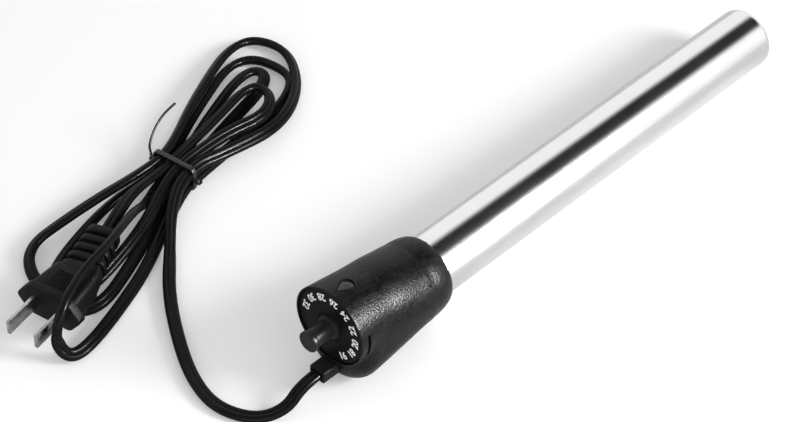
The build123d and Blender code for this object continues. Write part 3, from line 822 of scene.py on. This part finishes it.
# A dark arc slot runs round each side just behind the rim.
SLOT_START, SLOT_END = 3.4, 4.9
SLOT_FLOOR_R, SLOT_OUTER_R = 15.4, 18.0
SLOT_FROM, SLOT_TO = 75, 112
for flank in (-1, 1):
    corners = [
        (SLOT_START, SLOT_FLOOR_R),
        (SLOT_END, SLOT_FLOOR_R),
        (SLOT_END, SLOT_OUTER_R),
        (SLOT_START, SLOT_OUTER_R),
    ]
    cut = []
    for step in range(ROUND_STEPS + 1):
        turn = radians(SLOT_FROM + (SLOT_TO - SLOT_FROM) * step / ROUND_STEPS) * flank
        cut.append(
            [Vector((x, radius * sin(turn), DIAL_H + radius * cos(turn))) for x, radius in corners]
        )
    carve(head, skin("slot_cut", cut))

BOOT_WIDE, BOOT_TALL, BOOT_CORNER = 7.6, 5.6, 1.2
BOOT_END = 6.0


def boot_block(name, start, end, grow=0.0):
    """A round-edged block the size of the cord's boot, between two stations."""
    half_wide, half_tall = BOOT_WIDE / 2 + grow, BOOT_TALL / 2 + grow
    piece = brick(
        name,
        (start, -half_wide, CHANNEL_H - half_tall),
        (end, half_wide, CHANNEL_H + half_tall),
    )
    soften(piece, BOOT_CORNER, 5, runs_along("x", 1))
    return piece


carve(head, boot_block("boot_hole", -2, BOOT_END + 1, CLEAR))

# A thin parting line runs back along the top, and two ejector marks stand on the near side.
LINE_START, LINE_R, LINE_STEP = 12.6, 0.17, 1.5
line_points = []
station = LINE_START
while station < SHOULDER:
    height, radius = drawn_through(POD, station)
    line_points.append(Vector((station, 0, height + radius)))
    station += LINE_STEP
for step in range(9):
    station, radius = dome(radians(10 * step))
    line_points.append(Vector((station, 0, radius)))
marks = [swept("parting_line", line_points, arc(0, 0, LINE_R, 0, 324, 9))]
MARK_R = 0.5
for station, around in [(28, -68), (39, -56)]:
    height, radius = drawn_through(POD, station)
    bpy.ops.object.select_all(action="DESELECT")
    bpy.ops.mesh.primitive_uv_sphere_add(segments=16, ring_count=8, radius=MARK_R)
    mark = bpy.context.object
    mark.data.transform(
        Matrix.Translation(
            (station, radius * sin(radians(around)), height + radius * cos(radians(around)))
        )
    )
    marks.append(mark)
head = join("head", [head, *marks])
ready(head, "base", eroded_plastic, LIE, ("head_shell",), smooth=28)

# ---- indicator: a sunk window with a small raised mark ----
lens = slab("indicator_window", teardrop(LENS_R), LENS_THICK, window_floor)
soften(lens, 0.2, 2)
ready(lens, "base", window_plastic, LIE, ("indicator_lens",))
mark_outline = arc(0, 0, 0.9, 0, 345, 23)
mark = slab("indicator_mark", mark_outline, 0.25, Matrix.Diagonal((1, 0.42, 1, 1)))
soften(mark, 0.07, 2)
mark.data.transform(dropped(LENS_SINK) @ Matrix.Translation((-0.4, 0.1, -0.02)))
ready(mark, "base", window_plastic, LIE)

# ---- gland: a square-edged boot that the flat cord comes out of ----
gland = boot_block("cord_boot", ENTRY_STATION, BOOT_END)
open_up(gland, "FACE", lambda face: face.normal.x < -0.9)
bpy.ops.mesh.inset(thickness=0.55)
bpy.ops.mesh.extrude_region_move(TRANSFORM_OT_translate={"value": (-0.35, 0, 0)})
bpy.ops.mesh.inset(thickness=0.45)
bpy.ops.mesh.extrude_region_move(TRANSFORM_OT_translate={"value": (2.4, 0, 0)})
close_up()
soften(gland, 0.12, 2, lambda a, b: max(a.x, b.x) < ENTRY_STATION + 0.01)
ready(gland, "base", gland_rubber, LIE, ("cord_gland",))

# ---- dial: a disc with printed numbers, a knob on its hub, and a pip beside it ----
DIAL_SINK, DIAL_THICK, DIAL_R = 0.6, 2.0, 15.8
SHANK_R, HUB_R = 3.0, 5.0
dial_back = DIAL_SINK + DIAL_THICK
disc_outline = [(dial_back, SHANK_R + 0.1), (dial_back, DIAL_R)]
disc_outline += arc(DIAL_SINK + 0.3, DIAL_R - 0.3, 0.3, 90, 180, 4)
disc_outline += [(DIAL_SINK, HUB_R + 1.2), (DIAL_SINK + 0.35, HUB_R + 0.9)]
disc_outline += [(DIAL_SINK + 0.35, HUB_R + 0.25), (DIAL_SINK, HUB_R - 0.2)]
disc_outline += [(DIAL_SINK, SHANK_R + 0.1)]
disc = turned("dial_face", disc_outline, DIAL_H, 128, closed=True)
ready(disc, "dial", dial_plastic, LIE, ("dial_disc",), smooth=25)

PIP_R, PIP_TURN, PIP_OUT, PIP_SINK = 0.55, radians(15), 7.4, 0.15
pip = turned("dial_pip", arc(0, 0, PIP_R, 180, 90, 5), steps=16)
pip.data.transform(
    Matrix.Translation(
        (DIAL_SINK + PIP_SINK, -PIP_OUT * sin(PIP_TURN), DIAL_H + PIP_OUT * cos(PIP_TURN))
    )
)
ready(pip, "dial", dial_plastic, LIE)

KNOB_REACH, CAP_THICK, CAP_R = 11.2, 1.7, 4.3
NECK_LONG, KNOB_NECK_R, STEM_R = 0.4, 3.3, 3.7
HUB_THICK = 1.2
SPINDLE_R = 2.0
cap_back = CAP_THICK - KNOB_REACH
hub_front = DIAL_SINK - HUB_THICK
knob_outline = [(-KNOB_REACH + 0.12, 0), (-KNOB_REACH + 0.12, CAP_R - 1.1)]
knob_outline += [(-KNOB_REACH, CAP_R - 0.9)]
knob_outline += arc(-KNOB_REACH + 0.4, CAP_R - 0.4, 0.4, 180, 90, 4)
knob_outline += arc(cap_back - 0.2, CAP_R - 0.2, 0.2, 90, 0, 3)
knob_outline += [(cap_back, KNOB_NECK_R), (cap_back + NECK_LONG, KNOB_NECK_R)]
knob_outline += arc(cap_back + NECK_LONG + 0.2, STEM_R - 0.2, 0.2, 180, 90, 3)
knob_outline += arc(hub_front - 0.35, STEM_R + 0.35, 0.35, 270, 360, 4)
knob_outline += arc(hub_front + 0.25, HUB_R - 0.25, 0.25, 180, 90, 3)
knob_outline += [(DIAL_SINK, HUB_R), (DIAL_SINK, SHANK_R), (dial_back, SHANK_R)]
knob_outline += [(dial_back, SPINDLE_R + 0.1), (-4.0, SPINDLE_R + 0.1), (-4.0, 0)]
knob = turned("knob_body", knob_outline, DIAL_H, 80)
ready(knob, "dial", knob_plastic, LIE, ("knob",), smooth=30)

DIGIT_TALL, DIGIT_SHARE = 3.0, 0.7
DIGIT_SPACING, DIGIT_BOLD, INK_THICK, INK_LIFT = 0.98, 0.08, 0.05, 0.01
PRINT_TURN = 6
DIGIT_OUT = 0.8 * DIAL_R
# The numbers stand evenly round the dial, from the one that the window's tip points to.
NUMBER_STEP, FIRST_NUMBER = 28.4, 26
for number in (26, 24, 22, 20, 18, 16, 28, 30, 32):
    around = (FIRST_NUMBER - number) / 2 * NUMBER_STEP
    bpy.ops.object.select_all(action="DESELECT")
    bpy.ops.object.text_add()
    label = bpy.context.object
    label.data.body = str(number)
    label.data.size = DIGIT_TALL / DIGIT_SHARE
    label.data.space_character = DIGIT_SPACING
    label.data.offset = DIGIT_BOLD
    label.data.extrude = INK_THICK
    label.data.align_x, label.data.align_y = "CENTER", "CENTER"
    choose(label)
    bpy.ops.object.convert(target="MESH")
    label = bpy.context.object
    label.name = label.data.name = f"number_{number}"
    turn = radians(around + PRINT_TURN)
    outward = Vector((0, -sin(turn), cos(turn)))
    reading = outward.cross(Vector((1, 0, 0)))
    stand = Matrix((reading, -outward, Vector((-1, 0, 0)))).transposed().to_4x4()
    middle = Vector((DIAL_SINK - INK_LIFT, 0, DIAL_H)) + outward * DIGIT_OUT
    label.data.transform(Matrix.Translation(middle) @ stand)
    ready(label, "dial", white_ink, LIE)


# ---- plug: moulded body, two flat blades and a ribbed strain relief ----
body_end = RELIEF_TIP - heading(RELIEF_BEARING, RELIEF_LONG)
FLANGE_HALF_WIDE, FLANGE_HALF_FLAT, FLANGE_HALF_TALL, FLANGE_THICK = 15.0, 9.5, 7.25, 4.0
GRIP_LONG = 13.9
GRIP_FRONT, GRIP_BACK = (22.0, 12.5), (19.0, 11.5)
COLLAR, COLLAR_THICK = (17.6, 10.6), 1.0
GRIP_IN, COLLAR_IN = 0.3, 0.2
FLANGE_CORNER, PLUG_CORNER = 1.5, 3.0
FLANGE_EDGE, GRIP_EDGE, COLLAR_EDGE = 0.5, 0.9, 0.25
plug_long = FLANGE_THICK + GRIP_LONG + COLLAR_THICK
plug_origin = body_end - heading(PLUG_BEARING, plug_long)


def lying(start, bearing):
    """The place of a form that is modelled upwards, laid from a start along a bearing."""
    turned_to = Matrix((heading(bearing, 0, 1), Vector((0, 0, 1)), heading(bearing)))
    return Matrix.Translation(start) @ turned_to.transposed().to_4x4()


PLUG = lying(plug_origin, PLUG_BEARING)


def sits(depth):
    return Matrix.Translation((0, 0, depth))


def tapered(name, front, back, start, long, corner):
    """A round-cornered block whose front and back ends differ in size."""
    piece = brick(
        name,
        (-front[0] / 2, -front[1] / 2, start),
        (front[0] / 2, front[1] / 2, start + long),
    )
    open_up(piece, "FACE", lambda face: face.normal.z > 0.9)
    bpy.ops.transform.resize(
        value=(back[0] / front[0], back[1] / front[1], 1),
        center_override=(0, 0, start + long),
    )
    close_up()
    soften(piece, corner, 6, runs_along("z", long / 2))
    return piece


hexagon = [
    (FLANGE_HALF_WIDE, 0),
    (FLANGE_HALF_FLAT, FLANGE_HALF_TALL),
    (-FLANGE_HALF_FLAT, FLANGE_HALF_TALL),
    (-FLANGE_HALF_WIDE, 0),
    (-FLANGE_HALF_FLAT, -FLANGE_HALF_TALL),
    (FLANGE_HALF_FLAT, -FLANGE_HALF_TALL),
]
flange = slab("flange", hexagon, FLANGE_THICK)
soften(flange, FLANGE_CORNER, 5, runs_along("z", FLANGE_THICK / 2))
soften(flange, FLANGE_EDGE, 3, lies_across("z"))
grip = tapered(
    "grip", GRIP_FRONT, GRIP_BACK, FLANGE_THICK - GRIP_IN, GRIP_LONG + GRIP_IN, PLUG_CORNER
)
soften(grip, GRIP_EDGE, 4, lies_across("z"))
collar = tapered(
    "collar",
    COLLAR,
    COLLAR,
    plug_long - COLLAR_THICK - COLLAR_IN,
    COLLAR_THICK + COLLAR_IN,
    PLUG_CORNER,
)
soften(collar, COLLAR_EDGE, 2, lies_across("z"))
plug_forms = [flange, grip, collar]
RIBS, RIB_PITCH, RIB_THICK, RIB_WIDE, RIB_RISE, RIB_EDGE = 8, 1.1, 0.5, 10.0, 0.35, 0.16
for rib in range(RIBS):
    depth = (rib + 2) * RIB_PITCH
    tall = GRIP_FRONT[1] + (GRIP_BACK[1] - GRIP_FRONT[1]) * depth / GRIP_LONG + 2 * RIB_RISE
    bar = brick(
        "rib",
        (-RIB_WIDE / 2, -tall / 2, FLANGE_THICK + depth),
        (RIB_WIDE / 2, tall / 2, FLANGE_THICK + depth + RIB_THICK),
    )
    soften(bar, RIB_EDGE, 2)
    plug_forms.append(bar)
plug = join("plug_moulding", plug_forms)
ready(plug, "base", plug_pvc, WORLD @ PLUG, ("plug_body",))

BLADE_OUT, BLADE_IN, BLADE_TALL, BLADE_THICK, BLADE_SIDE = 16.0, 6.0, 6.4, 1.5, 6.35
BLADE_TIP, BLADE_EDGE = 0.55, 0.12
blade_forms = []
for flank in (-1, 1):
    blade = brick(
        "blade",
        (flank * BLADE_SIDE - BLADE_THICK / 2, -BLADE_TALL / 2, -BLADE_OUT),
        (flank * BLADE_SIDE + BLADE_THICK / 2, BLADE_TALL / 2, BLADE_IN),
    )
    soften(blade, BLADE_TIP, 2, lambda a, b: max(a.z, b.z) < 0)
    soften(blade, BLADE_EDGE, 2, runs_along("z", BLADE_IN - 1))
    blade_forms.append(blade)
blade_pair = join("plug_pins", blade_forms)
ready(blade_pair, "base", blade_metal, WORLD @ PLUG, ("plug_blades",))

# The relief is a wide, flattened sleeve with five thick ribs, and it starts inside the collar.
RELIEF_START, RELIEF_END, RELIEF_CORNER = (17.0, 9.8), (12.8, 8.8), 3.2
RELIEF_RIBS, RELIEF_GROOVE, RELIEF_WEDGE = 5, 1.2, 2.6
GROOVE_SHARE, CORE_SHORT = 0.36, 0.5
CORE_EDGE, RIB_ROUND = 0.3, 0.7
CUFF_IN = 0.2
relief_pitch = RELIEF_LONG / RELIEF_RIBS
groove_long = GROOVE_SHARE * relief_pitch


def relief_size(out, inset=0.0):
    share = out / RELIEF_LONG
    return [
        first + (last - first) * share - 2 * inset
        for first, last in zip(RELIEF_START, RELIEF_END)
    ]


def relief_form(start, end, inset, edge):
    """A tapered length of the relief, less an inset all round, with its ends' edges rounded."""
    piece = tapered(
        "relief_form",
        relief_size(start, inset),
        relief_size(end, inset),
        start,
        end - start,
        RELIEF_CORNER - inset,
    )
    soften(piece, edge, 3, lies_across("z"))
    return piece


relief_forms = [
    relief_form(-RELIEF_WEDGE, RELIEF_LONG - CORE_SHORT, RELIEF_GROOVE, CORE_EDGE)
]
for rib in range(RELIEF_RIBS):
    start = rib * relief_pitch + groove_long / 2 if rib else -RELIEF_WEDGE
    end = (rib + 1) * relief_pitch - (groove_long / 2 if rib < RELIEF_RIBS - 1 else 0)
    relief_forms.append(relief_form(start, end, 0, RIB_ROUND))
# A short round cuff closes the sleeve where the cord goes in.
cuff_outline = [(0, 0), (0, 3.5), (0.5, 3.5), (0.9, 3.1), (0.9, 2.6), (0.2, 2.3), (0.2, 0)]
cuff = turned("cuff", cuff_outline, 0, 32)
cuff.data.transform(sits(RELIEF_LONG - CUFF_IN) @ Matrix.Rotation(radians(-90), 4, "Y"))
relief_forms.append(cuff)
relief = join("strain_relief", relief_forms)
RELIEF = lying(body_end, RELIEF_BEARING)
ready(relief, "base", plug_pvc, WORLD @ RELIEF, ("plug_relief",))


# ---- twist tie: a flat band round the waist, a knot each side and one free round tail ----
TIE_WIDE = 2.1
BAND_CORNER, BAND_EDGE, BAND_HOLE_HALF, BAND_SLACK = 2.2, 0.25, 9, 0.45
band_half = 1.5 * CORD_PITCH + CORE_R + BAND_SLACK
band_low = CLEAR
band_high = waist_high + CORD_WIDE / 2 + CLEAR + TIE_THICK
band = brick(
    "band",
    (-TIE_WIDE / 2, -band_half - TIE_THICK, band_low),
    (TIE_WIDE / 2, band_half + TIE_THICK, band_high),
)
soften(band, BAND_CORNER, 7, runs_along("x", 1))
band_hole = brick(
    "band_hole",
    (-BAND_HOLE_HALF, -band_half, band_low + TIE_THICK),
    (BAND_HOLE_HALF, band_half, band_high - TIE_THICK),
)
soften(band_hole, BAND_CORNER - TIE_THICK, 7, runs_along("x", 1))
carve(band, band_hole)
soften(band, BAND_EDGE, 3, lies_across("x"))
band.data.transform(
    Matrix.Translation((*WAIST_AT, 0)) @ Matrix.Rotation(radians(WAIST_BEARING), 4, "Z")
)

TAIL_R = 0.5
KNOT_Z, KNOT_OUT = 6.0, 0.8
KNOT_STEPS, KNOT_TURNS, KNOT_R = 48, 2.2, 0.85
KNOT_LONG, KNOT_IN = 2.2, 0.6
STRAND_R, STRAND_FLAT, STRAND_WIDE = 1.25, 0.3, 0.6
knot_side = band_half + TIE_THICK + KNOT_OUT
tail_start = Vector((*WAIST_AT, KNOT_Z)) + heading(WAIST_BEARING, 0, knot_side)
tail_points = [
    tail_start,
    (-83.2, 131.2, 7.4),
    (-80, 133.4, 9.3),
    (-75.5, 135.2, 11.8),
    (-69.5, 136, 15),
    (-65, 134.4, 17.8),
]
tail_line = smooth_line("tail_line", tail_points, 10)
tail = swept("tail", tail_line, arc(0, 0, TAIL_R, 0, 330, 11))


def knot(flank):
    """Two turns of the tie wound round its own end."""
    middle = Vector((*WAIST_AT, KNOT_Z)) + heading(WAIST_BEARING, 0, flank * knot_side)
    out = heading(WAIST_BEARING, 0, flank)
    sideways = heading(WAIST_BEARING, 1)
    points = []
    for step in range(KNOT_STEPS + 1):
        share = step / KNOT_STEPS
        turn = 2 * pi * KNOT_TURNS * share
        offset = out * (KNOT_LONG * share - KNOT_IN)
        round_end = sideways * cos(turn) + Vector((0, 0, 1)) * sin(turn)
        points.append(middle + offset + round_end * KNOT_R)
    rings = []
    for index, point in enumerate(points):
        ahead = points[min(index + 1, KNOT_STEPS)] - points[max(index - 1, 0)]
        wide = out.cross(ahead.normalized()).normalized()
        oval = arc(0, 0, STRAND_R, 0, 330, 11)
        rings.append([point + wide * x * STRAND_FLAT + out * y * STRAND_WIDE for x, y in oval])
    return skin("knot", rings)


tie = join("tie_band", [band, tail, knot(-1), knot(1)])
ready(tie, "base", tie_plastic, WORLD, ("twist_tie",), smooth=40)


# ---- floor and light ----
FLOOR_WIDE, FLOOR_DROP = 12, 0.0002
FLOOR_TONE, FLOOR_MIRRORED = 0.8, 0.56
GLOW_SEEN, GLOW_MIRRORED = 0.22, 0.04
bpy.ops.object.select_all(action="DESELECT")
bpy.ops.mesh.primitive_plane_add(size=FLOOR_WIDE)
floor = bpy.context.object
floor.name = "floor"
floor.location.z = -FLOOR_DROP


def seen_share(nodes, links, camera_share, mirror_share):
    """A number for rays that see a thing directly, or in a mirror or through glass."""
    path = nodes.new("ShaderNodeLightPath")
    seen = nodes.new("ShaderNodeMath")
    seen.operation = "MULTIPLY"
    links.new(path.outputs["Is Camera Ray"], seen.inputs[0])
    seen.inputs[1].default_value = camera_share
    mirrored = nodes.new("ShaderNodeMath")
    mirrored.operation = "ADD"
    links.new(path.outputs["Is Glossy Ray"], mirrored.inputs[0])
    links.new(path.outputs["Is Transmission Ray"], mirrored.inputs[1])
    weighed = nodes.new("ShaderNodeMath")
    weighed.operation = "MULTIPLY_ADD"
    links.new(mirrored.outputs[0], weighed.inputs[0])
    weighed.inputs[1].default_value = mirror_share
    links.new(seen.outputs[0], weighed.inputs[2])
    return weighed.outputs[0]


paper = bpy.data.materials.new("studio_floor")
paper.use_nodes = True
nodes, links = paper.node_tree.nodes, paper.node_tree.links
nodes.clear()
matt = nodes.new("ShaderNodeBsdfDiffuse")
path = nodes.new("ShaderNodeLightPath")
tone = nodes.new("ShaderNodeMath")
tone.operation = "MULTIPLY_ADD"
links.new(path.outputs["Is Glossy Ray"], tone.inputs[0])
tone.inputs[1].default_value = FLOOR_MIRRORED - FLOOR_TONE
tone.inputs[2].default_value = FLOOR_TONE
links.new(tone.outputs[0], matt.inputs["Color"])
glow = nodes.new("ShaderNodeEmission")
links.new(seen_share(nodes, links, GLOW_SEEN, GLOW_MIRRORED), glow.inputs["Strength"])
both = nodes.new("ShaderNodeAddShader")
links.new(matt.outputs[0], both.inputs[0])
links.new(glow.outputs[0], both.inputs[1])
links.new(both.outputs[0], nodes.new("ShaderNodeOutputMaterial").inputs["Surface"])
floor.data.materials.append(paper)

world = bpy.data.worlds.new("studio")
bpy.context.scene.world = world
world.use_nodes = True
nodes, links = world.node_tree.nodes, world.node_tree.links
sky = nodes["Background"]
sky.inputs["Color"].default_value = (1, 1, 1, 1)
ROOM_LIGHT = 0.5
lift = nodes.new("ShaderNodeMath")
lift.operation = "ADD"
lift.inputs[1].default_value = ROOM_LIGHT
links.new(seen_share(nodes, links, 1 - ROOM_LIGHT, 1 - ROOM_LIGHT), lift.inputs[0])
links.new(lift.outputs[0], sky.inputs["Strength"])


def softbox(name, toward, away, long, wide, strength, mirrors_only=False):
    """A soft lamp a distance off in a direction from the head, and turned to it."""
    lamp = bpy.data.lights.new(name, "AREA")
    lamp.shape = "RECTANGLE"
    lamp.size, lamp.size_y = long, wide
    lamp.energy = strength * long * wide * pi
    holder = bpy.data.objects.new(name, lamp)
    bpy.context.collection.objects.link(holder)
    holder.location = rim_middle + Vector(toward).normalized() * away
    holder.rotation_mode = "QUATERNION"
    holder.rotation_quaternion = (-Vector(toward)).to_track_quat("-Z", "X")
    holder.visible_diffuse = not mirrors_only  # a lamp for mirrors only lights no matt surface


# A far softbox, a key lamp and a fill light the whole; the small near lamp shines on the head.
softbox("side_softbox", (0.1, -0.9, 0.44), 1.3, 1.8, 1.0, 1.0)
softbox("key_lamp", (0.48, -0.72, 0.48), 1.3, 0.4, 0.4, 26)
softbox("front_fill", (-0.8, -0.5, 0.4), 1.3, 1.0, 1.0, 1.5)
softbox("shine_lamp", (0.5, -0.795, 0.341), 0.3, 0.075, 0.06, 165, True)

# A dark card over the tube gives the steel its dark line, which fades out towards both sides;
# nothing but mirrors sees it.  Its parts are angles from upright, towards the lamps' side.
CARD_HIGH, CARD_END = 0.9, 2.5
CARD_FAR, DARK_FAR, DARK_NEAR, CARD_NEAR = -29, -13, 25, 40


def card_y(turn):
    return -CARD_HIGH * tan(radians(turn))


card = new_piece(
    "overhead_card",
    [
        (x, card_y(turn), CARD_HIGH)
        for x, turn in [
            (-CARD_END, CARD_NEAR),
            (CARD_END, CARD_NEAR),
            (CARD_END, CARD_FAR),
            (-CARD_END, CARD_FAR),
        ]
    ],
    (),
    [(0, 1, 2, 3)],
)
for seen_by in ("visible_camera", "visible_diffuse", "visible_shadow", "visible_volume_scatter"):
    setattr(card, seen_by, False)
black = bpy.data.materials.new("dark_card")
black.use_nodes = True
nodes, links = black.node_tree.nodes, black.node_tree.links
nodes.clear()
place = nodes.new("ShaderNodeTexCoord")
parts = nodes.new("ShaderNodeSeparateXYZ")
links.new(place.outputs["Object"], parts.inputs["Vector"])
across = nodes.new("ShaderNodeMapRange")
across.inputs["From Min"].default_value = card_y(CARD_NEAR)
across.inputs["From Max"].default_value = card_y(CARD_FAR)
links.new(parts.outputs["Y"], across.inputs["Value"])
fade = nodes.new("ShaderNodeValToRGB")
CARD_DARK = 0.012
fade.color_ramp.elements[0].color = (1, 1, 1, 1)
fade.color_ramp.elements[1].color = (1, 1, 1, 1)
for turn in (DARK_NEAR, DARK_FAR):
    share = (card_y(turn) - card_y(CARD_NEAR)) / (card_y(CARD_FAR) - card_y(CARD_NEAR))
    fade.color_ramp.elements.new(share).color = (CARD_DARK, CARD_DARK, CARD_DARK, 1)
links.new(across.outputs["Result"], fade.inputs["Fac"])
dull = nodes.new("ShaderNodeEmission")
links.new(fade.outputs["Color"], dull.inputs["Color"])
links.new(dull.outputs[0], nodes.new("ShaderNodeOutputMaterial").inputs["Surface"])
card.data.materials.append(black)

bpy.context.scene.view_settings.view_transform = "Standard"
